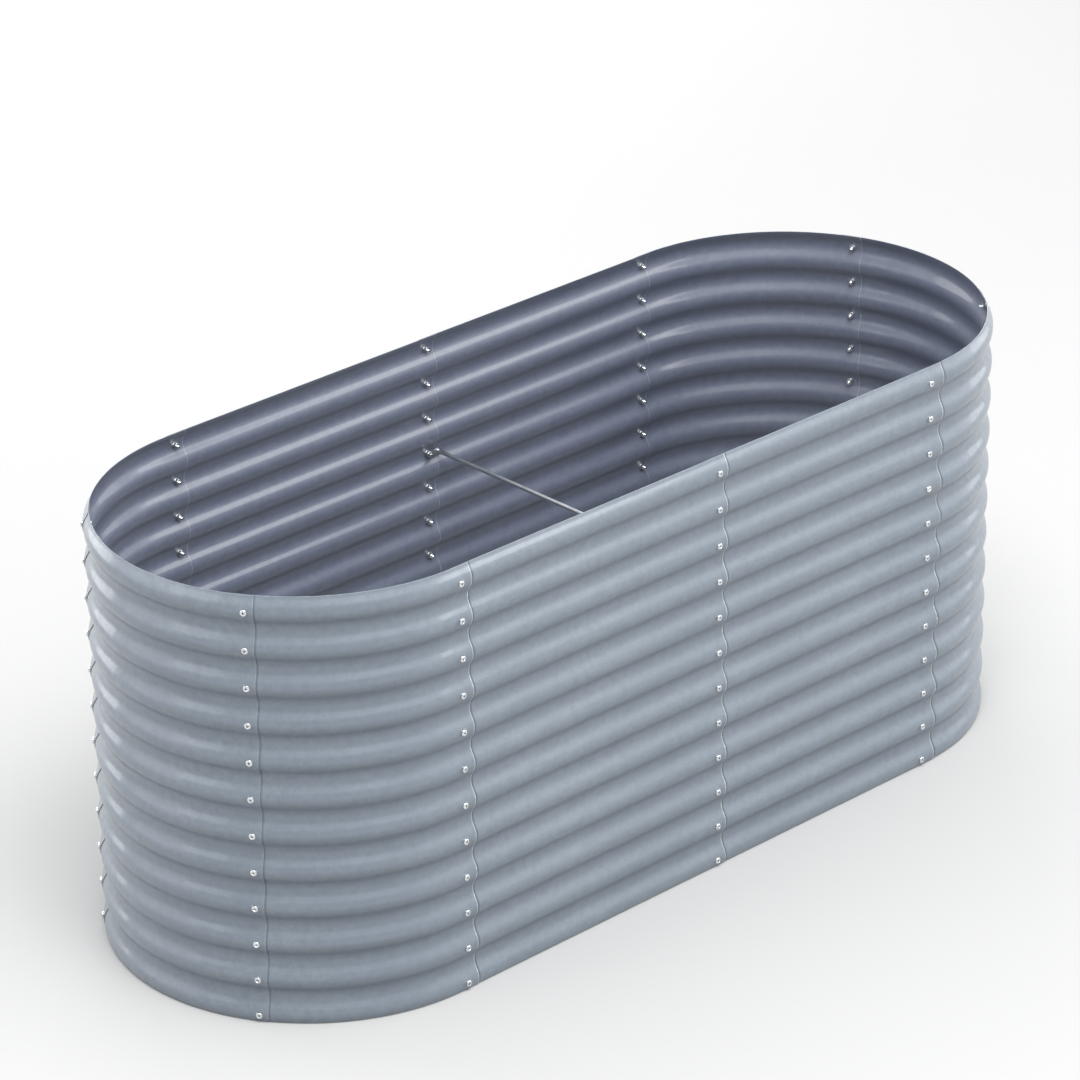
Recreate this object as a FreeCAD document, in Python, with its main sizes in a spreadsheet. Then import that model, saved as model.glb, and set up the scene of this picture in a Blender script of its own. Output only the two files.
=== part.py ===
import FreeCAD, Part
import Sketcher
import math
import os

# Raised garden bed, open at the top and at the bottom, oval in plan (a stadium:
# two straight sides and two half-round ends).  Ten corrugated sheet-steel panels
# lap one over the next all the way round and are bolted through every crest of
# the corrugation.  Frame: origin on the ground at the centre of the plan,
# +X along the bed, -Y the front long side, +Z up.  Millimetres.

V = FreeCAD.Vector
doc = FreeCAD.newDocument("raised_bed")

# ---------------------------------------------------------------- dimensions
sheet = doc.addObject("Spreadsheet::Sheet", "dims")
CELLS = [
    # plan and height, on the outer face of the crests
    ("end_radius", 381.5), ("side_length", 1187.0), ("total_height", 812.0),
    # corrugation: arcs joined by short straight flanks
    ("row_pitch", 70.0), ("row_count", 12), ("bottom_band", 14.0),
    ("wave_radius", 28.3), ("wave_angle", 31.0),
    # sheet, measured along the radius, and the inward step of the under lap
    ("sheet_thick", 0.9), ("lap_step", 1.3),
    # bolt columns on the sides: distance from the middle of the bed
    ("seam_tangent", 585.5), ("seam_middle", 27.0), ("seam_short", 570.3),
    # bolt columns on the ends: plan angle
    ("angle_right_front", -34.5), ("angle_right_back", 24.5),
    ("angle_left_back", 140.0), ("angle_left_front", 213.2),
    # free edge of the over lap, past each bolt column
    ("over_front_left", 26.0), ("over_front_middle", 22.0), ("over_front_right", 36.0),
    ("over_end_right_front", 20.0), ("over_end_right_back", 20.0),
    ("over_back_right", 24.0), ("over_back_middle", 22.0), ("over_back_left", 24.0),
    ("over_end_left_back", 16.0), ("over_end_left_front", 16.0),
    # hidden edge of the under lap, before each bolt column
    ("under_lap", 20.0), ("under_lap_short", 13.0),
    # fasteners
    ("hole_diameter", 7.0),
    ("bolt_diameter", 5.9), ("bolt_length", 16.0), ("head_diameter", 12.0),
    ("head_height", 3.8), ("head_shoulder", 2.0), ("recess_width", 1.3), ("recess_length", 5.8), ("recess_depth", 2.0),
    ("washer_diameter", 12.0), ("washer_bore", 6.4), ("washer_thick", 1.2), ("washer_seat", 2.95),
    ("nut_flats", 10.0), ("nut_bore", 6.0), ("nut_thick", 5.0),
    # cross braces between the long sides
    ("brace_diameter", 8.0), ("brace_offset", 22.0), ("brace_tab_thick", 2.0),
    ("brace_tab_height", 14.0), ("brace_row_low", 3), ("brace_row_high", 8), ("locknut_thick", 4.0),
]
for n, (alias, value) in enumerate(CELLS, start=1):
    sheet.set("A%d" % n, alias)
    sheet.set("B%d" % n, str(value))
    sheet.setAlias("B%d" % n, alias)
doc.recompute()


def dim(alias):
    return float(getattr(sheet, alias))


R = dim("end_radius")
HALF = dim("side_length") / 2.0
H = dim("total_height")
PITCH = dim("row_pitch")
ROWS = int(dim("row_count"))
Z0 = dim("bottom_band")
RHO = dim("wave_radius")
PHI = math.radians(dim("wave_angle"))
THICK = dim("sheet_thick")
STEP = dim("lap_step")
ARC_RISE = RHO * math.sin(PHI)
FLANK_RISE = PITCH / 2.0 - 2.0 * ARC_RISE
ARC_DEPTH = RHO * (1.0 - math.cos(PHI))
DEPTH = 2.0 * ARC_DEPTH + FLANK_RISE * math.tan(PHI)

parts = []


# ------------------------------------------------------------------- helpers
def origin_feature(body, role):
    for f in body.Origin.OriginFeatures:
        if f.Role == role:
            return f
    raise RuntimeError("no " + role)


def new_body(name):
    body = doc.addObject("PartDesign::Body", name)
    body.Label = name
    if hasattr(body, "AllowCompound"):
        body.AllowCompound = True
    parts.append(body)
    return body


def new_sketch(body, name, role, offset=0.0):
    sk = body.newObject("Sketcher::SketchObject", name)
    sk.AttachmentSupport = (origin_feature(body, role), "")
    sk.MapMode = "FlatFace"
    if offset:
        sk.AttachmentOffset = FreeCAD.Placement(V(0, 0, offset), FreeCAD.Rotation())
    return sk


def arc(cx, cz, a0, a1):
    return Part.ArcOfCircle(Part.Circle(V(cx, cz, 0), V(0, 0, 1), RHO), a0, a1)


def line(x0, z0, x1, z1):
    return Part.LineSegment(V(x0, z0, 0), V(x1, z1, 0))


def wave(x_crest):
    """One face of the corrugation, from the bottom edge to the top edge."""
    geo = []
    xc = x_crest - RHO                 # centres of the crest arcs
    xv = x_crest - DEPTH + RHO         # centres of the valley arcs
    x1 = x_crest - ARC_DEPTH
    x2 = x1 - FLANK_RISE * math.tan(PHI)
    for k in range(ROWS):
        zc = Z0 + k * PITCH
        low = -PHI if k else math.asin((0.0 - zc) / RHO)
        geo.append(arc(xc, zc, low, PHI))
        geo.append(line(x1, zc + ARC_RISE, x2, zc + ARC_RISE + FLANK_RISE))
        zv = zc + PITCH / 2.0
        if k < ROWS - 1:
            geo.append(arc(xv, zv, math.pi - PHI, math.pi + PHI))
            geo.append(line(x2, zv + ARC_RISE, x1, zv + ARC_RISE + FLANK_RISE))
        else:
            geo.append(arc(xv, zv, math.pi + math.asin((zv - H) / RHO), math.pi + PHI))
    x_bottom = xc + RHO * math.cos(math.asin(Z0 / RHO))
    x_top = xv - RHO * math.cos(math.asin((Z0 + (ROWS - 0.5) * PITCH - H) / RHO))
    return geo, x_bottom, x_top


def wave_section(body, name, x_crest):
    """Closed section of the corrugated sheet: X outwards, Z up."""
    sk = new_sketch(body, name, "XZ_Plane")
    outer, xb, xt = wave(x_crest)
    inner, xbi, xti = wave(x_crest - THICK)
    sk.addGeometry(outer + inner + [line(xb, 0, xbi, 0), line(xt, H, xti, H)], False)
    return sk


def bolt_column(body, name, role, y, flip=1.0):
    """A column of bolt holes, one on each crest."""
    sk = new_sketch(body, name, role)
    first = None
    for k in range(ROWS):
        z = Z0 + k * PITCH
        g = sk.addGeometry(Part.Circle(V(flip * y, z, 0), V(0, 0, 1), dim("hole_diameter") / 2.0), False)
        if first is None:
            c = sk.addConstraint(Sketcher.Constraint("Radius", g, dim("hole_diameter") / 2.0))
            sk.setExpression("Constraints[%d]" % c, "dims.hole_diameter / 2")
            first = g
        else:
            sk.addConstraint(Sketcher.Constraint("Equal", first, g))
        c = sk.addConstraint(Sketcher.Constraint("DistanceY", -1, 1, g, 3, z))
        sk.setExpression("Constraints[%d]" % c, "dims.bottom_band + %d * dims.row_pitch" % k)
        c = sk.addConstraint(Sketcher.Constraint("DistanceX", -1, 1, g, 3, flip * y))
    return sk


def place(obj, origin, ex):
    """Local X along ex (in plan), local Z up."""
    a = math.degrees(math.atan2(ex.y, ex.x))
    obj.Placement = FreeCAD.Placement(origin, FreeCAD.Rotation(V(0, 0, 1), a))


# --------------------------------------------------------------------- seams
# Each seam: the point of its bolt column on the outer face and the outward
# direction.  They are listed anticlockwise from the left end of the front.
def on_end(side, deg):
    n = V(math.cos(math.radians(deg)), math.sin(math.radians(deg)), 0)
    return V(side * HALF, 0, 0) + n * R, n


FRONT, BACK = V(0, -1, 0), V(0, 1, 0)
SEAMS = {
    "front_left": (V(-dim("seam_tangent"), -R, 0), FRONT),
    "front_middle": (V(dim("seam_middle"), -R, 0), FRONT),
    "front_right": (V(dim("seam_short"), -R, 0), FRONT),
    "end_right_front": on_end(1, dim("angle_right_front")),
    "end_right_back": on_end(1, dim("angle_right_back")),
    "back_right": (V(dim("seam_tangent"), R, 0), BACK),
    "back_middle": (V(dim("seam_middle"), R, 0), BACK),
    "back_left": (V(-dim("seam_short"), R, 0), BACK),
    "end_left_back": on_end(-1, dim("angle_left_back")),
    "end_left_front": on_end(-1, dim("angle_left_front")),
}


# ------------------------------------------------------------ straight panels
def straight_panel(name, start, end, under_alias):
    """From the seam start (this panel lies under its neighbour) to the seam
    end (this panel lies over the next one), slightly skewed in plan so that
    it comes from inside the one to outside the other."""
    p0, n = SEAMS[start]
    p1, _ = SEAMS[end]
    span = (p1 - p0).Length
    under = dim(under_alias)
    body = new_body(name)
    section = wave_section(body, name + "_section", 0.0)
    pad = body.newObject("PartDesign::Pad", name + "_sheet")
    pad.Profile = section
    pad.Reversed = True
    pad.setExpression("Length", "%.4f + dims.%s + dims.over_%s" % (span, under_alias, end))
    doc.recompute()
    vol = body.Shape.Volume
    holes = bolt_column(body, name + "_holes", "YZ_Plane", under)
    cut = body.newObject("PartDesign::Pocket", name + "_drilling")
    cut.Profile = holes
    cut.Type = "Length"
    cut.Length = 30.0
    doc.recompute()
    rows = body.newObject("PartDesign::LinearPattern", name + "_columns")
    rows.Originals = [cut]
    rows.Direction = (holes, ["H_Axis"])
    rows.Length = span
    rows.Occurrences = 2
    body.Tip = rows
    doc.recompute()
    t = (p1 - p0).normalize()
    eps = math.asin(STEP / span)
    ey = t * math.cos(eps) + n * math.sin(eps)
    ex = n * math.cos(eps) - t * math.sin(eps)
    start_bolt = p0 - n * STEP
    place(body, start_bolt - ey * under, ex)
    print(name, "holes remove %.1f mm3" % (vol - body.Shape.Volume))
    return body


# -------------------------------------------------------------- curved panels
def curved_panel(name, side, start, end, tail):
    """Panel of a round end.  tail is "start" or "end" where the panel runs on
    straight past the tangent of the end, or None.  The bend is struck from a
    centre moved by about a millimetre, so that the panel starts one lap step
    inside the oval and ends on it."""
    p0, n0 = SEAMS[start]
    p1, n1 = SEAMS[end]
    centre = V(side * HALF, 0, 0)
    ns, ne = n0, n1                      # where the offsets -STEP and 0 hold
    det = ns.x * ne.y - ns.y * ne.x
    h = STEP / 2.0
    c = V((-h * ne.y - h * ns.y) / det, (h * ne.x + h * ns.x) / det, 0)
    rad = R - h
    origin = centre + c
    under_alias = "under_lap"
    under = dim(under_alias)
    over = dim("over_" + end)
    base_dir = {"start": ns, "end": ne, None: ns}[tail]
    ey = V(0, 0, 1).cross(base_dir)

    def polar(p):
        d = p - origin
        return math.atan2(d.dot(ey), d.dot(base_dir))

    body = new_body(name)
    section = wave_section(body, name + "_section", rad)
    a0 = polar(p0 - n0 * STEP)           # plan angle of the two bolt columns
    a1 = polar(p1)
    if tail == "end":
        sweep_back = -a0 + under / rad
        sweep_on = 0.0
        tail_len = (p1 - origin).dot(ey) + over
    elif tail == "start":
        sweep_back = 0.0
        sweep_on = a1 + over / rad
        tail_len = -(p0 - origin).dot(ey) + under
    else:
        sweep_back = under / rad - a0
        sweep_on = a1 + over / rad
        tail_len = 0.0
    bends = []
    for tag, sweep in (("back", sweep_back), ("on", sweep_on)):
        if sweep <= 0:
            continue
        rev = body.newObject("PartDesign::Revolution", "%s_bend_%s" % (name, tag))
        rev.Profile = section
        rev.ReferenceAxis = (section, ["V_Axis"])
        rev.Reversed = (tag == "back") == REV_FORWARD_IS_PLUS
        rev.Angle = math.degrees(sweep)
        bends.append(rev)
        doc.recompute()
    if tail:
        pad = body.newObject("PartDesign::Pad", name + "_tail")
        pad.Profile = section
        pad.Reversed = tail == "end"
        alias = under_alias if tail == "start" else "over_" + end
        pad.setExpression("Length", "%.4f + dims.%s" % (tail_len - dim(alias), alias))
        doc.recompute()
    vol = body.Shape.Volume
    near = a0 if tail == "start" or tail is None else a1
    y = {"start": (p0 - origin).dot(ey), "end": (p1 - origin).dot(ey), None: rad * math.sin(a0)}[tail]
    holes = bolt_column(body, name + "_holes", "YZ_Plane", y)
    cut = body.newObject("PartDesign::Pocket", name + "_drilling")
    cut.Profile = holes
    cut.Type = "Length"
    cut.Reversed = True
    cut.setExpression("Length", "dims.end_radius + 20")
    doc.recompute()
    first = math.atan2(y, rad) if tail else a0
    other = a1 if near == a0 else a0
    turn = body.newObject("PartDesign::PolarPattern", name + "_columns")
    turn.Originals = [cut]
    turn.Axis = (section, ["V_Axis"])
    turn.Occurrences = 2
    turn.Angle = abs(math.degrees(other - first))
    turn.Reversed = (other < first) == POL_FORWARD_IS_PLUS
    body.Tip = turn
    doc.recompute()
    place(body, origin, base_dir)
    print(name, "sweep %.2f tail %.1f holes remove %.1f mm3" % (
        math.degrees(sweep_back + sweep_on), tail_len, vol - body.Shape.Volume))
    return body


REV_FORWARD_IS_PLUS = True
POL_FORWARD_IS_PLUS = True

straight_panel("panel_front_left", "front_left", "front_middle", "under_lap_short")
straight_panel("panel_front_right", "front_middle", "front_right", "under_lap")
curved_panel("panel_right_front", 1, "front_right", "end_right_front", "start")
curved_panel("panel_right_middle", 1, "end_right_front", "end_right_back", None)
curved_panel("panel_right_back", 1, "end_right_back", "back_right", "end")
straight_panel("panel_back_right", "back_right", "back_middle", "under_lap_short")
straight_panel("panel_back_left", "back_middle", "back_left", "under_lap")
curved_panel("panel_left_back", -1, "back_left", "end_left_back", "start")
curved_panel("panel_left_middle", -1, "end_left_back", "end_left_front", None)
curved_panel("panel_left_front", -1, "end_left_front", "front_left", "end")


# ------------------------------------------------------------------ fasteners
# Local X is the bolt axis, pointing out of the bed; X = 0 on the outer face of
# the sheet; the lowest bolt of the column stands at local Z = 0.
def column_of(body, name, tip_features):
    rows = body.newObject("PartDesign::LinearPattern", name + "_rows")
    rows.Originals = tip_features
    rows.Direction = (origin_feature(body, "Z_Axis"), [""])
    rows.setExpression("Length", "(dims.row_count - 1) * dims.row_pitch")
    rows.setExpression("Occurrences", "dims.row_count")
    body.Tip = rows
    doc.recompute()
    return rows


def ring_sketch(body, name, points):
    sk = new_sketch(body, name, "XZ_Plane")
    sk.addGeometry([line(*points[i], *points[(i + 1) % len(points)]) for i in range(len(points))], False)
    return sk


def revolve_x(body, name, sk):
    rev = body.newObject("PartDesign::Revolution", name)
    rev.Profile = sk
    rev.ReferenceAxis = (sk, ["H_Axis"])
    rev.Angle = 360.0
    doc.recompute()
    return rev


def bolts(seam):
    name = "bolts_" + seam
    body = new_body(name)
    rb, rh = dim("bolt_diameter") / 2.0, dim("head_diameter") / 2.0
    hh, ln = dim("head_height"), dim("bolt_length")
    sk = new_sketch(body, name + "_half", "XZ_Plane")
    # pan head: straight rim, a round shoulder, then a flat top
    rs = dim("head_shoulder")
    mid = V(hh - rs + rs * math.sin(math.pi / 4), rh - rs + rs * math.cos(math.pi / 4), 0)
    sk.addGeometry([
        line(-ln, 0, -ln, rb - 0.7), line(-ln, rb - 0.7, -ln + 0.7, rb),
        line(-ln + 0.7, rb, 0, rb), line(0, rb, 0, rh - 0.2),
        line(0, rh - 0.2, 0.2, rh), line(0.2, rh, hh - rs, rh),
        Part.Arc(V(hh - rs, rh, 0), mid, V(hh, rh - rs, 0)),
        line(hh, rh - rs, hh, 0), line(hh, 0, -ln, 0)], False)
    rev = revolve_x(body, name + "_turned", sk)
    vol = body.Shape.Volume
    cross = new_sketch(body, name + "_cross", "YZ_Plane", hh)
    w, a = dim("recess_width") / 2.0, dim("recess_length") / 2.0
    pts = [(w, w), (w, a), (-w, a), (-w, w), (-a, w), (-a, -w), (-w, -w), (-w, -a), (w, -a), (w, -w), (a, -w), (a, w)]
    cross.addGeometry([line(*pts[i], *pts[(i + 1) % 12]) for i in range(12)], False)
    cut = body.newObject("PartDesign::Pocket", name + "_recess")
    cut.Profile = cross
    cut.Type = "Length"
    cut.setExpression("Length", "dims.recess_depth")
    doc.recompute()
    if not cut.Shape or cut.Shape.isNull() or not cut.Shape.isValid() or body.Shape.Volume >= vol - 5:
        print(name, "recess check", vol, body.Shape.Volume)
    column_of(body, name, [rev, cut])
    place(body, SEAMS[seam][0] + V(0, 0, Z0), SEAMS[seam][1])
    return body


def washers(seam):
    name = "washers_" + seam
    body = new_body(name)
    x1 = -dim("washer_seat")
    x0 = x1 - dim("washer_thick")
    rw, rb = dim("washer_diameter") / 2.0, dim("washer_bore") / 2.0
    sk = ring_sketch(body, name + "_half", [(x0, rb), (x1, rb), (x1, rw - 0.15), (x1 - 0.15, rw), (x0 + 0.15, rw), (x0, rw - 0.15)])
    rev = revolve_x(body, name + "_ring", sk)
    column_of(body, name, [rev])
    place(body, SEAMS[seam][0] + V(0, 0, Z0), SEAMS[seam][1])
    return body


def hexagon(sk, flats):
    r = flats / math.sqrt(3.0)
    pts = [(r * math.cos(math.radians(60 * i + 30)), r * math.sin(math.radians(60 * i + 30))) for i in range(6)]
    sk.addGeometry([line(*pts[i], *pts[(i + 1) % 6]) for i in range(6)], False)


def nuts(seam):
    name = "nuts_" + seam
    body = new_body(name)
    x1 = -dim("washer_seat") - dim("washer_thick")
    x0 = x1 - dim("nut_thick")
    rb = dim("nut_bore") / 2.0
    sk = new_sketch(body, name + "_hex", "YZ_Plane", x0)
    hexagon(sk, dim("nut_flats"))
    g = sk.addGeometry(Part.Circle(V(0, 0, 0), V(0, 0, 1), rb), False)
    c = sk.addConstraint(Sketcher.Constraint("Radius", g, rb))
    sk.setExpression("Constraints[%d]" % c, "dims.nut_bore / 2")
    pad = body.newObject("PartDesign::Pad", name + "_blank")
    pad.Profile = sk
    pad.setExpression("Length", "dims.nut_thick")
    doc.recompute()
    # turned chamfer on the inner end of the nut
    rc = dim("nut_flats") / 2.0
    bevel = new_sketch(body, name + "_bevel", "XZ_Plane")
    tri = [(x0 - 0.5, rc - 0.1), (x0 - 0.5, rc + 2.0), (x0 + 0.85, rc + 2.0), (x0 + 0.62, rc + 0.98), (x0, rc - 0.1)]
    bevel.addGeometry([line(*tri[i], *tri[(i + 1) % 5]) for i in range(5)], False)
    gro = body.newObject("PartDesign::Groove", name + "_chamfer")
    gro.Profile = bevel
    gro.ReferenceAxis = (bevel, ["H_Axis"])
    gro.Angle = 360.0
    doc.recompute()
    column_of(body, name, [pad, gro])
    place(body, SEAMS[seam][0] + V(0, 0, Z0), SEAMS[seam][1])
    return body


for seam in SEAMS:
    bolts(seam)
    washers(seam)
    nuts(seam)


# --------------------------------------------------------------- cross braces
# A round bar between the long sides with a flat tab welded on each end; the
# tab slips over the bolt behind its nut and a thin locknut holds it.
def brace(name, row_alias):
    body = new_body(name)
    x_bolt = dim("seam_middle")
    tab_face = R - dim("washer_seat") - dim("washer_thick") - dim("nut_thick")
    tt, th = dim("brace_tab_thick"), dim("brace_tab_height")
    off = dim("brace_offset")
    half = tab_face - tt
    bar = new_sketch(body, name + "_round", "XZ_Plane", 0.0)
    g = bar.addGeometry(Part.Circle(V(off, 0, 0), V(0, 0, 1), dim("brace_diameter") / 2.0), False)
    c = bar.addConstraint(Sketcher.Constraint("Diameter", g, dim("brace_diameter")))
    bar.setExpression("Constraints[%d]" % c, "dims.brace_diameter")
    c = bar.addConstraint(Sketcher.Constraint("DistanceX", -1, 1, g, 3, off))
    bar.setExpression("Constraints[%d]" % c, "dims.brace_offset")
    pad = body.newObject("PartDesign::Pad", name + "_bar")
    pad.Profile = bar
    pad.Midplane = True
    pad.Length = 2.0 * half + 0.2
    doc.recompute()
    # tab on the front end: the sketch plane faces -Y
    tab = new_sketch(body, name + "_tab_outline", "XZ_Plane", half)
    r = th / 2.0
    x1 = off + r
    tab.addGeometry([
        Part.ArcOfCircle(Part.Circle(V(0, 0, 0), V(0, 0, 1), r), math.pi / 2, 3 * math.pi / 2),
        line(0, -r, off, -r),
        Part.ArcOfCircle(Part.Circle(V(off, 0, 0), V(0, 0, 1), r), -math.pi / 2, math.pi / 2),
        line(off, r, 0, r),
        Part.Circle(V(0, 0, 0), V(0, 0, 1), dim("washer_bore") / 2.0)], False)
    flat = body.newObject("PartDesign::Pad", name + "_tab")
    flat.Profile = tab
    flat.setExpression("Length", "dims.brace_tab_thick")
    doc.recompute()
    other = body.newObject("PartDesign::Mirrored", name + "_tab_back")
    other.Originals = [flat]
    other.MirrorPlane = (origin_feature(body, "XZ_Plane"), [""])
    body.Tip = other
    doc.recompute()
    body.Placement = FreeCAD.Placement(V(x_bolt, 0, Z0 + dim(row_alias) * PITCH), FreeCAD.Rotation())
    return body


brace("brace_lower", "brace_row_low")
brace("brace_upper", "brace_row_high")


def locknuts(name, row_alias):
    """Two thin nuts, one behind each tab of a brace."""
    body = new_body(name)
    seat = R - dim("washer_seat") - dim("washer_thick") - dim("nut_thick") - dim("brace_tab_thick")
    sk = new_sketch(body, name + "_hex", "XZ_Plane", seat - dim("locknut_thick"))
    hexagon(sk, dim("nut_flats"))
    g = sk.addGeometry(Part.Circle(V(0, 0, 0), V(0, 0, 1), dim("nut_bore") / 2.0), False)
    pad = body.newObject("PartDesign::Pad", name + "_front")
    pad.Profile = sk
    pad.setExpression("Length", "dims.locknut_thick")
    doc.recompute()
    other = body.newObject("PartDesign::Mirrored", name + "_back")
    other.Originals = [pad]
    other.MirrorPlane = (origin_feature(body, "XZ_Plane"), [""])
    body.Tip = other
    doc.recompute()
    body.Placement = FreeCAD.Placement(V(dim("seam_middle"), 0, Z0 + dim(row_alias) * PITCH), FreeCAD.Rotation())
    return body


locknuts("locknuts_brace_lower", "brace_row_low")
locknuts("locknuts_brace_upper", "brace_row_high")

# ---------------------------------------------------------------------- check
doc.recompute()
for o in doc.Objects:
    if "Invalid" in o.State or "Error" in o.State:
        raise RuntimeError("failed: %s %s" % (o.Name, o.State))
for p in parts:
    if p.Shape.isNull() or not p.Shape.isValid():
        raise RuntimeError("bad shape: " + p.Label)

os.makedirs("parts", exist_ok=True)
for p in parts:
    p.Shape.exportStep("parts/%s.step" % p.Label)
print("nodes", len(parts))
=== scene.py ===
import math

import bmesh
import bpy
import numpy as np
from mathutils import Matrix, Vector


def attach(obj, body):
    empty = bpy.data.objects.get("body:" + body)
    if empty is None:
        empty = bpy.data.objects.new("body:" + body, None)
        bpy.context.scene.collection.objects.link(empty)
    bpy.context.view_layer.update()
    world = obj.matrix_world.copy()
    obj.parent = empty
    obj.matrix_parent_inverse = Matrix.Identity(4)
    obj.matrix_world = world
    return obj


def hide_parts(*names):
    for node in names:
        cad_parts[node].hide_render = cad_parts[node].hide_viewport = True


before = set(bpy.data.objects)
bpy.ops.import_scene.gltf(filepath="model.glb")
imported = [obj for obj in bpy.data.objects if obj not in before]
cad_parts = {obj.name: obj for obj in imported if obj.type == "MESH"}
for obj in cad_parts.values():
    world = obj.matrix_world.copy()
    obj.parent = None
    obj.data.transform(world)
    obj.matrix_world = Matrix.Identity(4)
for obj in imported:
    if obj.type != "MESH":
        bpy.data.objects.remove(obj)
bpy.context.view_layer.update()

# ------------------------------------------------------------------ dimensions
# Metres, the same numbers as the CAD part.
R, HALF, H = 0.3815, 0.5935, 0.812
PITCH, ROWS, Z0 = 0.070, 12, 0.014
RHO, PHI = 0.0283, math.radians(31.0)
THICK, STEP = 0.0009, 0.0013
HOLE = 0.0035
ARC_RISE = RHO * math.sin(PHI)
FLANK = PITCH / 2 - 2 * ARC_RISE
ARC_DEPTH = RHO * (1 - math.cos(PHI))
DEPTH = 2 * ARC_DEPTH + FLANK * math.tan(PHI)
OVER = {"front_left": .026, "front_middle": .022, "front_right": .036, "end_right_front": .020,
        "end_right_back": .020, "back_right": .024, "back_middle": .022, "back_left": .024,
        "end_left_back": .016, "end_left_front": .016}
Z = np.array([0.0, 0.0, 1.0])


def on_end(side, deg):
    n = np.array([math.cos(math.radians(deg)), math.sin(math.radians(deg)), 0.0])
    return np.array([side * HALF, 0.0, 0.0]) + n * R, n


FRONT, BACK = np.array([0.0, -1.0, 0.0]), np.array([0.0, 1.0, 0.0])
SEAMS = {
    "front_left": (np.array([-.5855, -R, 0.0]), FRONT),
    "front_middle": (np.array([.027, -R, 0.0]), FRONT),
    "front_right": (np.array([.5703, -R, 0.0]), FRONT),
    "end_right_front": on_end(1, -34.5),
    "end_right_back": on_end(1, 24.5),
    "back_right": (np.array([.5855, R, 0.0]), BACK),
    "back_middle": (np.array([.027, R, 0.0]), BACK),
    "back_left": (np.array([-.5703, R, 0.0]), BACK),
    "end_left_back": on_end(-1, 140.0),
    "end_left_front": on_end(-1, 213.2),
}


# --------------------------------------------------------------- wave profile
def profile():
    """Outer face of the corrugation from the bottom edge to the top edge:
    depth behind the crest, height, length along the sheet, the sample
    numbers of the four-step block that surrounds each bolt, and how far each
    sample faces downwards."""
    rim = 0.00025
    pts, lean, blocks = [], [], []
    for k in range(ROWS):
        zc = Z0 + k * PITCH
        angles = [math.radians(a) for a in (-31, -23.25, -15.5, -7.75, 0, 7.75, 15.5, 23.25, 31)]
        if k == 0:
            angles[0] = math.asin((rim - zc) / RHO)
            angles[1] = (angles[0] + angles[2]) / 2
        blocks.append(len(pts) + 2)
        pts += [(-RHO + RHO * math.cos(a), zc + RHO * math.sin(a)) for a in angles]
        lean += angles
        zv = zc + PITCH / 2
        top = k == ROWS - 1
        lo = math.asin((zv - (H - rim)) / RHO) if top else -PHI
        steps = 6 if top else 8
        for i in range(steps + 1):
            a = PHI + (lo - PHI) * i / steps
            pts.append((-DEPTH + RHO - RHO * math.cos(a), zv - RHO * math.sin(a)))
            lean.append(a)
    xz = np.array(pts)
    run = np.concatenate([[0], np.cumsum(np.hypot(*np.diff(xz, axis=0).T))])
    return xz, run, blocks, np.clip(-np.array(lean) / PHI, 0, 1)


XZ, RUN, BLOCKS, UNDERSIDE_SHADE = profile()
CREST = [b + 2 for b in BLOCKS]


def depth_at(k, dv):
    """Depth and height on crest k at a distance dv along the sheet."""
    a = dv / RHO
    return -RHO + RHO * math.cos(a), Z0 + k * PITCH + RHO * math.sin(a)


# --------------------------------------------------------------- panel layout
def straight(start, end, under):
    p0, n = SEAMS[start]
    p1, _ = SEAMS[end]
    span = float(np.linalg.norm(p1 - p0))
    t = (p1 - p0) / span
    eps = math.asin(STEP / span)
    ey = t * math.cos(eps) + n * math.sin(eps)
    ex = n * math.cos(eps) - t * math.sin(eps)
    o = p0 - n * STEP - ey * under

    def at(u, x, z):
        return o + ey * u + ex * x + Z * z

    return at, 0.0, under + span + OVER[end], [under, under + span], 0.030


def curved(side, start, end, tail):
    p0, n0 = SEAMS[start]
    p1, n1 = SEAMS[end]
    det = n0[0] * n1[1] - n0[1] * n1[0]
    h = STEP / 2
    c = np.array([(-h * n1[1] - h * n0[1]) / det, (h * n1[0] + h * n0[0]) / det, 0.0])
    rad = R - h
    o = np.array([side * HALF, 0.0, 0.0]) + c
    base = n1 if tail == "end" else n0
    ey = np.cross(Z, base)
    a = lambda p: math.atan2((p - o) @ ey, (p - o) @ base)
    b0 = (p0 - n0 * STEP - o) @ ey if tail == "start" else rad * a(p0 - n0 * STEP)
    b1 = (p1 - o) @ ey if tail == "end" else rad * a(p1)

    def at(u, x, z):
        if (tail == "start" and u <= 0) or (tail == "end" and u >= 0):
            return o + base * (rad + x) + ey * u + Z * z
        return o + (base * math.cos(u / rad) + ey * math.sin(u / rad)) * (rad + x) + Z * z

    return at, b0 - .020, b1 + OVER[end], [b0, b1], 0.0115


PANELS = {
    "panel_front_left": straight("front_left", "front_middle", .013),
    "panel_front_right": straight("front_middle", "front_right", .020),
    "panel_right_front": curved(1, "front_right", "end_right_front", "start"),
    "panel_right_middle": curved(1, "end_right_front", "end_right_back", None),
    "panel_right_back": curved(1, "end_right_back", "back_right", "end"),
    "panel_back_right": straight("back_right", "back_middle", .013),
    "panel_back_left": straight("back_middle", "back_left", .020),
    "panel_left_back": curved(-1, "back_left", "end_left_back", "start"),
    "panel_left_middle": curved(-1, "end_left_back", "end_left_front", None),
    "panel_left_front": curved(-1, "end_left_front", "front_left", "end"),
}


# distance past the free edge above and the painted shade there
LAP_AT = (.0002, .0022, .0034, .0050)
LAP_FADE = (1.0, .85, .35, 0.0)


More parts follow.
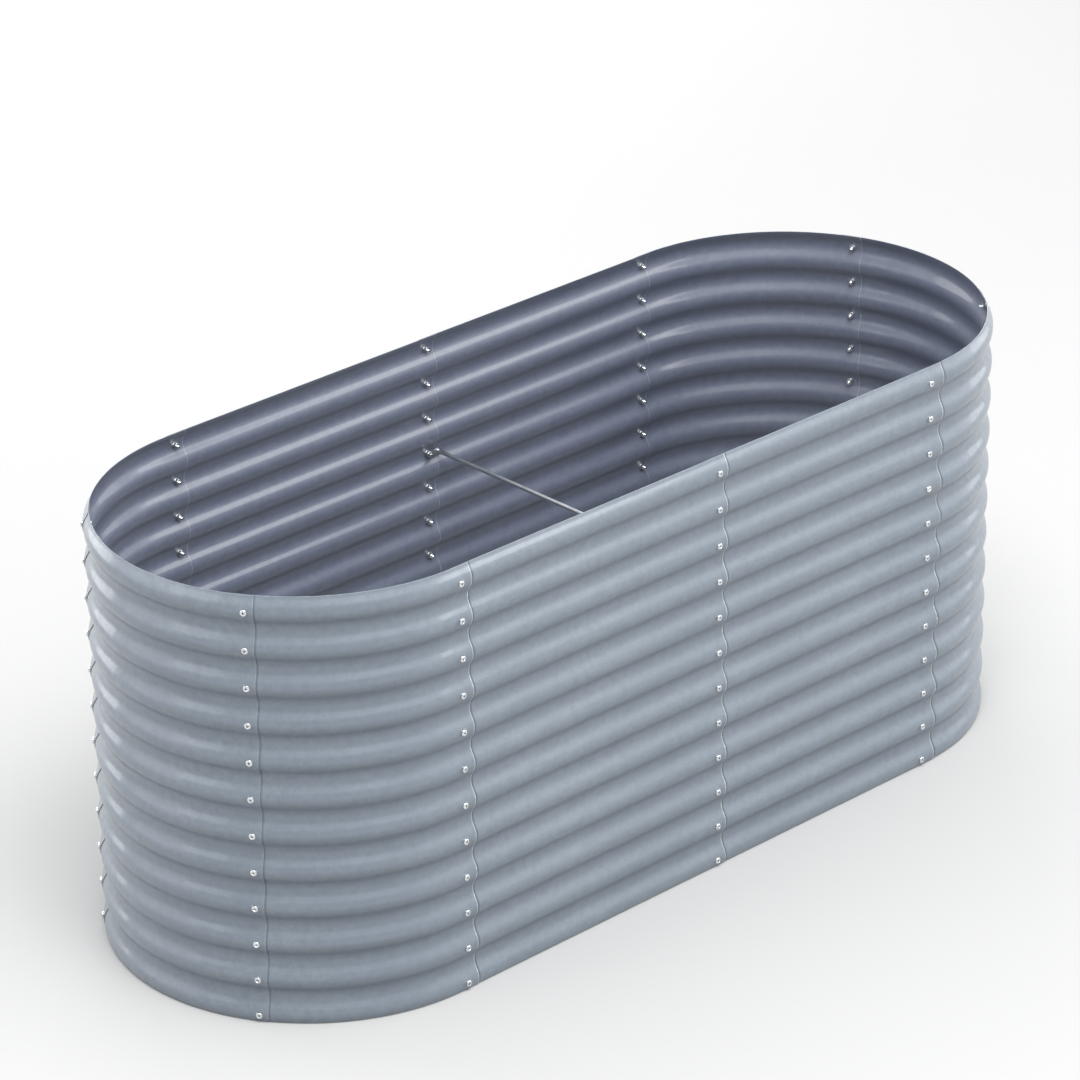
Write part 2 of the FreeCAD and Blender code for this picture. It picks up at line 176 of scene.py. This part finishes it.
def columns(lo, hi, bolts, gap, lap, wide):
    """Stations along the panel: both edges, four steps round each bolt
    column, a close set where the sheet above ends, and an even fill between."""
    w = RHO * math.radians(15.5)
    fixed = sorted([lo, lo + .0015] + [b + w * s for b in bolts for s in (-1, -.5, 0, .5, 1)] +
                   [lap - .001] + [lap + d * wide for d in LAP_AT] + [hi - .0030, hi - .0016, hi])
    out = [fixed[0]]
    for a, b in zip(fixed, fixed[1:]):
        n = max(1, math.ceil((b - a) / gap - 1e-6))
        out += [a + (b - a) * i / n for i in range(1, n + 1)]
    starts = [min(range(len(out)), key=lambda i: abs(out[i] - (b - w))) for b in bolts]
    return out, starts


# ------------------------------------------------------------------ materials
def node_tree(name):
    m = bpy.data.materials.new(name)
    m.use_nodes = True
    t = m.node_tree
    t.nodes.clear()
    out = t.nodes.new("ShaderNodeOutputMaterial")
    bsdf = t.nodes.new("ShaderNodeBsdfPrincipled")
    t.links.new(bsdf.outputs[0], out.inputs[0])
    return m, t, bsdf


class Tree:
    """Short calls for building a node tree."""

    def __init__(self, t):
        self.t = t

    def node(self, kind, **props):
        n = self.t.nodes.new(kind)
        for k, v in props.items():
            setattr(n, k, v)
        return n

    def put(self, sock, v):
        if hasattr(v, "is_output"):
            self.t.links.new(v, sock)
        elif v is not None:
            sock.default_value = v

    def coords(self):
        return self.node("ShaderNodeTexCoord").outputs["Object"]

    def uv(self):
        return self.node("ShaderNodeUVMap", uv_map="sheet").outputs["UV"]

    def attr(self, name):
        return self.node("ShaderNodeAttribute", attribute_name=name).outputs["Fac"]

    def scaled(self, vec, scale):
        n = self.node("ShaderNodeMapping")
        self.put(n.inputs["Vector"], vec)
        n.inputs["Scale"].default_value = scale
        return n.outputs["Vector"]

    def noise(self, vec, scale, detail=3.0, rough=0.5, distort=0.0):
        n = self.node("ShaderNodeTexNoise")
        self.put(n.inputs["Vector"], vec)
        n.inputs["Scale"].default_value = scale
        n.inputs["Detail"].default_value = detail
        n.inputs["Roughness"].default_value = rough
        n.inputs["Distortion"].default_value = distort
        return n.outputs["Fac"]

    def voronoi(self, vec, scale):
        n = self.node("ShaderNodeTexVoronoi")
        self.put(n.inputs["Vector"], vec)
        n.inputs["Scale"].default_value = scale
        return n.outputs["Distance"]

    def math(self, op, a, b=None, c=None, clamp=False):
        n = self.node("ShaderNodeMath", operation=op, use_clamp=clamp)
        for i, v in enumerate((a, b, c)):
            if v is not None:
                self.put(n.inputs[i], v)
        return n.outputs[0]

    def remap(self, v, a, b, c, d, smooth=False):
        n = self.node("ShaderNodeMapRange", clamp=True)
        if smooth:
            n.interpolation_type = "SMOOTHSTEP"
        self.put(n.inputs["Value"], v)
        for s, x in zip(("From Min", "From Max", "To Min", "To Max"), (a, b, c, d)):
            self.put(n.inputs[s], x)
        return n.outputs["Result"]

    def mix(self, f, a, b, kind="MIX"):
        n = self.node("ShaderNodeMix", data_type="RGBA", blend_type=kind)
        self.put(n.inputs[0], f)
        self.put(n.inputs[6], a)
        self.put(n.inputs[7], b)
        return n.outputs[2]

    def bump(self, height, strength, distance, normal=None):
        n = self.node("ShaderNodeBump")
        n.inputs["Strength"].default_value = strength
        n.inputs["Distance"].default_value = distance
        self.put(n.inputs["Height"], height)
        if normal is not None:
            self.put(n.inputs["Normal"], normal)
        return n.outputs["Normal"]


def srgb(r, g, b, a=1.0):
    f = lambda c: c / 12.92 if c <= 0.04045 else ((c + 0.055) / 1.055) ** 2.4
    return (f(r / 255), f(g / 255), f(b / 255), a)


def paint(name):
    """Satin blue-grey factory paint on corrugated steel: cloudy at three
    scales, a bluer, darker inner face, a painted highlight along the cut edges,
    which are rubbed to bare metal in places, painted shade on the downward-facing
    flanks, and a painted line of shade and dust in the laps."""
    m, t, b = node_tree(name)
    k = Tree(t)
    pos = k.coords()
    uv = k.uv()
    cloud = k.noise(pos, 4.5, 3.0, 0.5, 0.3)
    mottle = k.noise(pos, 75.0, 4.0, 0.62, 0.5)
    grain = k.noise(pos, 620.0, 2.0, 0.6)
    streak = k.noise(k.scaled(uv, (2.2, 95.0, 1.0)), 1.0, 3.0, 0.55)
    col = k.mix(k.remap(cloud, .33, .68, 0, 1), srgb(108, 118, 129), srgb(114, 124, 134))
    col = k.mix(k.remap(mottle, .35, .68, 0, .75), col, srgb(98, 108, 119))
    col = k.mix(k.remap(grain, .42, .70, 0, .22), col, srgb(130, 139, 148))
    col = k.mix(k.remap(streak, .50, .78, 0, .12), col, srgb(128, 137, 146))
    # painted shade: the downward-facing flanks of the waves are darkened, broken up a little by the cloud noise
    under = k.math("MULTIPLY", k.attr("under"), k.remap(cloud, .3, .7, .8, 1.0))
    col = k.mix(under, col, (.79, .80, .82, 1.0), "MULTIPLY")
    # the inner face, coloured bluer and darker than the outer face
    back = k.mix(k.remap(mottle, .3, .7, 0, 1), srgb(88, 95, 112), srgb(98, 105, 121))
    side = k.attr("back_side")
    col = k.mix(side, col, back)
    # painted shade, with some dust, held against the free edge of the sheet above
    lap = k.attr("lap")
    col = k.mix(k.math("MULTIPLY", lap, .85), col, srgb(40, 45, 52))
    # the cut edge: a painted highlight of lighter paint along it, rubbed to bare metal in places
    edge = k.attr("edge_highlight_and_wear")
    rub = k.remap(k.noise(pos, 120.0, 3.0, .6), .55, .66, 0, 1)
    col = k.mix(k.math("MULTIPLY", edge, .7), col, srgb(160, 169, 177))
    col = k.mix(k.math("MULTIPLY", k.math("MULTIPLY", edge, rub), .7), col, srgb(196, 202, 207))
    # small chips in the paint beside the bolts
    chip = k.math("MULTIPLY", k.attr("bolt_ring"), k.remap(k.noise(pos, 700.0, 2.0, .5), .60, .64, 0, 1))
    col = k.mix(chip, col, srgb(196, 201, 205))
    k.put(b.inputs["Base Color"], col)
    b.inputs["Metallic"].default_value = 0.0
    b.inputs["IOR"].default_value = 1.5
    b.inputs["Specular IOR Level"].default_value = 0.5
    rough = k.remap(mottle, .3, .7, .33, .42)
    rough = k.math("ADD", rough, k.remap(grain, .3, .7, -.03, .04))
    rough = k.math("ADD", rough, k.math("MULTIPLY", side, .12))
    k.put(b.inputs["Roughness"], rough)
    b.inputs["Coat Weight"].default_value = 0.55
    b.inputs["Coat Roughness"].default_value = 0.11
    n1 = k.bump(k.noise(pos, 9.0, 2.0, .5), .20, .0010)
    n2 = k.bump(mottle, .16, .0002, n1)
    n3 = k.bump(grain, .14, .00008, n2)
    k.put(b.inputs["Normal"], n3)
    return m


def zinc(name, tint, dark, rough_lo, rough_hi, scale=1.0, recess=False):
    """Bright zinc plate: fine grain, faint cloudy dulling, painted shade in recesses."""
    m, t, b = node_tree(name)
    k = Tree(t)
    pos = k.coords()
    cloud = k.noise(pos, 90.0 * scale, 3.0, .6)
    grain = k.noise(pos, 1500.0 * scale, 3.0, .6)
    col = k.mix(k.remap(cloud, .35, .66, 0, 1), tint, dark)
    col = k.mix(k.remap(grain, .58, .74, 0, .35), col, srgb(150, 150, 146))
    if recess:
        # painted shade: the bolt's cross recess is darkened nearly to black
        col = k.mix(k.math("MULTIPLY", k.attr("recess"), .9), col, srgb(46, 47, 48))
    k.put(b.inputs["Base Color"], col)
    b.inputs["Metallic"].default_value = 1.0
    k.put(b.inputs["Roughness"], k.math("ADD", k.remap(cloud, .3, .7, rough_lo, rough_hi), k.remap(grain, .3, .7, -.03, .05)))
    n1 = k.bump(cloud, .15, .0002)
    k.put(b.inputs["Normal"], k.bump(grain, .25, .00006, n1))
    return m


PAINT = paint("panel_paint")
BOLT = zinc("bolt_zinc", srgb(228, 230, 232), srgb(205, 208, 212), .12, .22, recess=True)
WASHER = zinc("washer_zinc", srgb(212, 215, 218), srgb(190, 195, 199), .25, .38)
NUT = zinc("nut_zinc", srgb(214, 216, 214), srgb(192, 196, 198), .24, .36)
BRACE = zinc("brace_zinc", srgb(196, 200, 203), srgb(172, 177, 181), .30, .45, .6)


# --------------------------------------------------------------------- panels
def build_panel(name, at, lo, hi, bolts, gap):
    lap_at = bolts[0] + OVER_HERE[name]
    tone = EDGE_HIGHLIGHT_AND_WEAR.get(name, 1.0)
    wide = LAP_WIDE.get(name, 1.15)
    us, starts = columns(lo, hi, bolts, gap, lap_at, wide)
    nu, nv = len(us), len(XZ)
    verts, faces, uvs = [], [], []
    tags = {"back_side": [], "edge_highlight_and_wear": [], "lap": [], "bolt_ring": [], "under": []}

    def vert(u, x, z, v, back, edge=0.0):
        verts.append(at(u, x, z))
        uvs.append((u, v))
        tags["back_side"].append(float(back))
        tags["edge_highlight_and_wear"].append(edge)
        # painted shade and dust where the neighbour's free edge lies over the beginning of this panel
        tags["lap"].append(0.0 if back else LAP_SHADE_AND_DUST.get(name, 1.0) * float(np.interp((u - lap_at) / wide, LAP_AT, LAP_FADE)))
        tags["bolt_ring"].append(0.0)
        # painted shade mask: how far the outer face faces downwards
        tags["under"].append(0.0 if back else float(np.interp(v, RUN, UNDERSIDE_SHADE)))
        return len(verts) - 1

    holes = [(i0, j0) for i0 in starts for j0 in BLOCKS]
    inside = set()
    for i0, j0 in holes:
        for i in range(i0 + 1, i0 + 4):
            for j in range(j0 + 1, j0 + 4):
                inside.add((i, j))
    cut = set()
    for i0, j0 in holes:
        for i in range(i0, i0 + 4):
            for j in range(j0, j0 + 4):
                cut.add((i, j))
    grids = []
    for back in (0, 1):
        grid = {}
        for i, u in enumerate(us):
            ue = u
            if i == 0:
                ue = u + .0002
            elif i == nu - 1:
                ue = u - .0002
            for j in range(nv):
                if (i, j) in inside:
                    continue
                x = XZ[j][0] - (THICK if back else 0.0)
                # the cut edges and, on the outer face, the column just inside the free edge carry the painted edge
                # highlight and wear
                e = tone if i in (0, nu - 1) else .9 * tone if i == nu - 2 and not back else .35 if j in (0, nv - 1) else 0.0
                grid[i, j] = vert(ue, x, XZ[j][1], RUN[j], back, e)
        grids.append(grid)
        for i in range(nu - 1):
            for j in range(nv - 1):
                if (i, j) in cut:
                    continue
                q = (grid[i, j], grid[i + 1, j], grid[i + 1, j + 1], grid[i, j + 1])
                faces.append(q if back == 0 else q[::-1])
    # holes: a ring from the block's rim to the circle, then the wall
    for (i0, j0) in holes:
        k = BLOCKS.index(j0)
        bi = starts.index(i0)
        rim = [(i0 + a, j0) for a in range(4)] + [(i0 + 4, j0 + a) for a in range(4)] + \
              [(i0 + 4 - a, j0 + 4) for a in range(4)] + [(i0, j0 + 4 - a) for a in range(4)]
        rings = []
        for back in (0, 1):
            ring, mid = [], []
            for (i, j) in rim:
                du, dv = us[i] - bolts[bi], RUN[j] - RUN[j0 + 2]
                ang = math.atan2(dv, du)
                for rr, dest in ((HOLE, ring), (.0058, mid)):
                    x, z = depth_at(k, rr * math.sin(ang))
                    dest.append(vert(bolts[bi] + rr * math.cos(ang), x - (THICK if back else 0.0), z,
                                     RUN[j0 + 2] + rr * math.sin(ang), back))
                    tags["bolt_ring"][-1] = 1.0
            for a in range(16):
                c = (a + 1) % 16
                for p, q in ((ring, mid), (mid, [grids[back][r] for r in rim])):
                    f = (p[a], q[a], q[c], p[c])
                    faces.append(f if back == 0 else f[::-1])
            rings.append(ring)
        for a in range(16):
            c = (a + 1) % 16
            faces.append((rings[1][a], rings[0][a], rings[0][c], rings[1][c]))
    # cut edges: two faces meeting on a small round
    def edge_point(i, j, di, dj):
        u = us[i] if di else us[i] + (.0002 if i == 0 else -.0002 if i == nu - 1 else 0)
        z = XZ[j][1]
        if dj:
            z = 0.0 if j == 0 else H
        v = vert(u, XZ[j][0] - THICK / 2, z, RUN[j], 0, tone if di else .35)
        return v

    loop = [(i, 0) for i in range(nu)] + [(nu - 1, j) for j in range(1, nv)] + \
           [(i, nv - 1) for i in range(nu - 2, -1, -1)] + [(0, j) for j in range(nv - 2, 0, -1)]
    mids = [edge_point(i, j, i in (0, nu - 1), j in (0, nv - 1)) for i, j in loop]
    for a in range(len(loop)):
        c = (a + 1) % len(loop)
        f, g = grids[0], grids[1]
        faces.append((f[loop[c]], f[loop[a]], mids[a], mids[c]))
        faces.append((mids[c], mids[a], g[loop[a]], g[loop[c]]))
    me = bpy.data.meshes.new(name + "_sheet")
    me.from_pydata([tuple(v) for v in verts], [], faces)
    me.update()
    layer = me.uv_layers.new(name="sheet")
    idx = np.zeros(len(me.loops), np.int32)
    me.loops.foreach_get("vertex_index", idx)
    layer.data.foreach_set("uv", np.array(uvs, np.float32)[idx].ravel())
    for tag, vals in tags.items():
        a = me.attributes.new(tag, "FLOAT", "POINT")
        a.data.foreach_set("value", np.array(vals, np.float32))
    me.polygons.foreach_set("use_smooth", [True] * len(me.polygons))
    ob = bpy.data.objects.new(name + "_sheet", me)
    bpy.context.scene.collection.objects.link(ob)
    # crisp sheet edges, smooth waves
    me.set_sharp_from_angle(angle=math.radians(40))
    me.materials.append(PAINT)
    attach(ob, "root")
    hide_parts(name)
    return ob


# how much painted shade and dust sits in each lap
LAP_SHADE_AND_DUST = {"panel_left_front": .38}
LAP_WIDE = {"panel_right_front": 1.6, "panel_left_front": .9}
# how strong the painted highlight and the rubbed wear are on the upright cut edges
EDGE_HIGHLIGHT_AND_WEAR = {"panel_left_middle": .15}
# distance past this panel's first bolt column at which the sheet above it ends
OVER_HERE = {
    "panel_front_left": OVER["front_left"], "panel_front_right": OVER["front_middle"],
    "panel_right_front": OVER["front_right"], "panel_right_middle": OVER["end_right_front"],
    "panel_right_back": OVER["end_right_back"], "panel_back_right": OVER["back_right"],
    "panel_back_left": OVER["back_middle"], "panel_left_back": OVER["back_left"],
    "panel_left_middle": OVER["end_left_back"], "panel_left_front": OVER["end_left_front"],
}
for name, (at, lo, hi, bolts, gap) in PANELS.items():
    build_panel(name, at, lo, hi, bolts, gap)


# ---------------------------------------------------------------------- bolts
def turned(rows, seg):
    """A closed solid of revolution round X from (x, r) rows, both ends on the axis."""
    verts = [(rows[0][0], 0, 0)]
    for x, r in rows[1:-1]:
        verts += [(x, r * math.cos(2 * math.pi * i / seg), r * math.sin(2 * math.pi * i / seg)) for i in range(seg)]
    verts.append((rows[-1][0], 0, 0))
    n = len(rows) - 2
    faces = [(0, 1 + i, 1 + (i + 1) % seg) for i in range(seg)]
    for a in range(n - 1):
        p, q = 1 + a * seg, 1 + (a + 1) * seg
        faces += [(p + i, q + i, q + (i + 1) % seg, p + (i + 1) % seg) for i in range(seg)]
    last = 1 + (n - 1) * seg
    faces += [(last + (i + 1) % seg, last + i, len(verts) - 1) for i in range(seg)]
    return verts, faces


def one_bolt():
    """Pan-head bolt with a cross recess and a threaded end, axis +X."""
    top = lambda r: 3.8 - .2 * (r / 4.0) ** 2
    rows = [(3.8, 0)] + [(top(r), r) for r in (1.0, 2.0, 3.0, 3.6, 4.0)]
    rows += [(1.8 + 1.8 * math.cos(a), 4.0 + 2.0 * math.sin(a)) for a in (math.radians(d) for d in (15, 30, 45, 60, 75, 90))]
    rows += [(.25, 6.0), (.07, 5.93), (0.0, 5.75), (0.0, 2.95), (-9.3, 2.95)]
    for k in range(6):
        rows += [(-9.75 - k, 2.50), (-10.05 - k, 2.95), (-10.2 - k, 2.95)]
    rows = [r for r in rows if r[0] > -15.25] + [(-15.3, 2.9), (-16.0, 2.25), (-16.0, 0)]
    v, f = turned([(x / 1000, r / 1000) for x, r in rows], 24)
    body = bpy.data.meshes.new("bolt_blank")
    body.from_pydata(v, [], f)
    w, a, wb, ab = .65, 2.9, .38, 1.5
    ring = lambda w, a: [(w, w), (w, a), (-w, a), (-w, w), (-a, w), (-a, -w), (-w, -w), (-w, -a), (w, -a), (w, -w), (a, -w), (a, w)]
    up = [(.0043, y / 1000, z / 1000) for y, z in ring(w + .05, a + .25)]
    dn = [(.0018, y / 1000, z / 1000) for y, z in ring(wb, ab)]
    cut = bpy.data.meshes.new("bolt_cutter")
    cut.from_pydata(up + dn, [], [tuple(range(12)), tuple(range(23, 11, -1))] +
                    [(i, i + 12, (i + 1) % 12 + 12, (i + 1) % 12) for i in range(12)])
    out = []
    for me in (body, cut):
        me.update()
        bm = bmesh.new()
        bm.from_mesh(me)
        bmesh.ops.recalc_face_normals(bm, faces=bm.faces)
        bm.to_mesh(me)
        bm.free()
        o = bpy.data.objects.new(me.name, me)
        bpy.context.scene.collection.objects.link(o)
        out.append(o)
    mod = out[0].modifiers.new("recess", "BOOLEAN")
    mod.operation, mod.solver, mod.object = "DIFFERENCE", "EXACT", out[1]
    bpy.context.view_layer.update()
    got = bpy.data.meshes.new_from_object(out[0].evaluated_get(bpy.context.evaluated_depsgraph_get()))
    co = np.array([p.co for p in got.vertices])
    poly = [tuple(p.vertices) for p in got.polygons]
    for o in out:
        me = o.data
        bpy.data.objects.remove(o)
        bpy.data.meshes.remove(me)
    bpy.data.meshes.remove(got)
    r = np.hypot(co[:, 1], co[:, 2]) * 1000
    x = co[:, 0] * 1000
    deep = ((r < 3.3) & (x > 1.7) & (x < 3.8 - .2 * (r / 4) ** 2 - .03)).astype(float)
    return co, poly, deep


BOLT_CO, BOLT_POLY, BOLT_DEEP = one_bolt()


def bolt_column(seam):
    p, n = SEAMS[seam]
    side = np.cross(Z, n)
    verts, faces, deep = [], [], []
    for k in range(ROWS):
        a = math.radians(38 + 31 * math.sin(12.9898 * (k + 1) + 4.1 * len(seam) + 7.7 * p[0]))
        c, s_ = math.cos(a), math.sin(a)
        y = BOLT_CO[:, 1] * c - BOLT_CO[:, 2] * s_
        z = BOLT_CO[:, 1] * s_ + BOLT_CO[:, 2] * c
        base = len(verts)
        pos = p + np.outer(BOLT_CO[:, 0], n) + np.outer(y, side) + np.outer(z + Z0 + k * PITCH, Z)
        verts += [tuple(v) for v in pos]
        faces += [tuple(base + i for i in f) for f in BOLT_POLY]
        deep += list(BOLT_DEEP)
    me = bpy.data.meshes.new("pan_heads_" + seam)
    me.from_pydata(verts, [], faces)
    me.update()
    t = me.attributes.new("recess", "FLOAT", "POINT")
    t.data.foreach_set("value", np.array(deep, np.float32))
    me.polygons.foreach_set("use_smooth", [True] * len(me.polygons))
    me.set_sharp_from_angle(angle=math.radians(38))
    ob = bpy.data.objects.new("pan_heads_" + seam, me)
    bpy.context.scene.collection.objects.link(ob)
    me.materials.append(BOLT)
    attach(ob, "root")
    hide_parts("bolts_" + seam)


for seam in SEAMS:
    bolt_column(seam)


# ----------------------------------------------------------- carried-over CAD
for name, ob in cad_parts.items():
    for prefix, mat in (("bolts_", BOLT), ("washers_", WASHER), ("nuts_", NUT), ("locknuts_", NUT), ("brace_", BRACE)):
        if name.startswith(prefix):
            for s in ob.material_slots:
                s.material = mat


# ---------------------------------------------------------------------- stage
def plain(name, color, rough):
    m, t, b = node_tree(name)
    k = Tree(t)
    c = k.mix(k.remap(k.noise(k.coords(), .8, 2.0, .5), .3, .7, 0, 1), color, tuple(x * .99 for x in color[:3]) + (1,))
    k.put(b.inputs["Base Color"], c)
    b.inputs["Roughness"].default_value = rough
    b.inputs["Specular IOR Level"].default_value = 0.1
    return m


me = bpy.data.meshes.new("floor_plane")
s = 30.0
me.from_pydata([(-s, -s, 0), (s, -s, 0), (s, s, 0), (-s, s, 0)], [], [(0, 1, 2, 3)])
floor = bpy.data.objects.new("floor_plane", me)
floor.location.z = -0.0005
bpy.context.scene.collection.objects.link(floor)
me.materials.append(plain("floor_pale", srgb(180, 180, 180), .8))

world = bpy.data.worlds.new("studio")
bpy.context.scene.world = world
world.use_nodes = True
bg = world.node_tree.nodes.get("Background") or world.node_tree.nodes.new("ShaderNodeBackground")
# a soft sky: brightest overhead, dimmer low down, dimmest low in front
wk = Tree(world.node_tree)
xyz = wk.node("ShaderNodeSeparateXYZ")
wk.put(xyz.inputs[0], wk.node("ShaderNodeTexCoord").outputs["Generated"])
rise = wk.remap(xyz.outputs["Z"], 0.0, 0.9, 0.0, 1.0)
ahead = wk.math("ADD", wk.math("MULTIPLY", xyz.outputs["X"], -.69), wk.math("MULTIPLY", xyz.outputs["Y"], -.73))
low = wk.remap(ahead, -.7, .7, 1.05, .10, smooth=True)
high = wk.remap(ahead, -.6, .6, 1.15, 1.15)
level = wk.math("ADD", wk.math("MULTIPLY", rise, high), wk.math("MULTIPLY", wk.math("SUBTRACT", 1.0, rise), low))
# a pale band at the horizon, behind the floor's far edge
band = wk.remap(xyz.outputs["Z"], .05, .13, .80, 0.0, smooth=True)
wk.put(bg.inputs["Strength"], wk.math("MAXIMUM", level, band))
bg.inputs["Color"].default_value = (1.0, 1.0, 1.0, 1.0)


def area(name, loc, target, size, power, color=(1, 1, 1)):
    d = bpy.data.lights.new(name, "AREA")
    d.shape = "RECTANGLE"
    d.size, d.size_y = size
    d.energy = power
    d.color = color
    o = bpy.data.objects.new(name, d)
    bpy.context.scene.collection.objects.link(o)
    o.location = loc
    o.rotation_mode = "QUATERNION"
    o.rotation_quaternion = (Vector(target) - Vector(loc)).to_track_quat("-Z", "Y")
    o.visible_camera = False
    return o


def softbox(name, az, el, size, dist, power):
    """A soft light az degrees round from the front, el degrees up."""
    a, e = math.radians(az), math.radians(el)
    d = Vector((math.sin(a) * math.cos(e), -math.cos(a) * math.cos(e), math.sin(e)))
    w, h = size if isinstance(size, tuple) else (size, size)
    return area(name, Vector((0, 0, .4)) + d * dist, (0, 0, .4), (w, h), power)


softbox("right_low", 25, 14, 4.0, 6.5, 24)
softbox("right_high", 25, 42, 4.0, 6.5, 26)
softbox("right_side", 60, 14, 4.0, 6.5, 30)
softbox("right_end", 86, 12, 3.0, 6.5, 46)
softbox("front_high", -10, 42, 4.0, 6.5, 36)
softbox("top_left", -32, 64, 3.2, 6.5, 300)
softbox("top_right", 30, 68, 4.0, 6.5, 24)
softbox("back_left", -120, 14, 4.0, 6.5, 45)
softbox("back", -165, 14, 4.0, 6.5, 130)
softbox("back_right", 150, 14, 4.0, 6.5, 150)
softbox("strip_a", 42, 26, (3.4, .5), 5.0, 32)
softbox("left_side", -98, 24, 2.0, 5.5, 18)

# --------------------------------------------------------------------- camera
az, el, roll = -0.7561222, 0.4505718, -0.0111315
back = Vector((math.sin(az) * math.cos(el), -math.cos(az) * math.cos(el), math.sin(el)))
right0 = (-back).cross(Vector((0, 0, 1))).normalized()
up0 = right0.cross(-back)
right = math.cos(roll) * right0 + math.sin(roll) * up0
up = -math.sin(roll) * right0 + math.cos(roll) * up0
cam_data = bpy.data.cameras.new("camera")
cam_data.sensor_width = 36.0
cam_data.lens = 36.0 * 4957.81 / 1080.0
cam_data.clip_start, cam_data.clip_end = .1, 100
cam = bpy.data.objects.new("camera", cam_data)
bpy.context.scene.collection.objects.link(cam)
m = Matrix((right, up, back)).transposed().to_4x4()
m.translation = Vector((-5.5526, -5.8409, 4.4330))
cam.matrix_world = m
bpy.context.scene.camera = cam

vs = bpy.context.scene.view_settings
vs.view_transform = "Standard"
vs.look = "None"
vs.exposure = 0.17
vs.gamma = 1.0
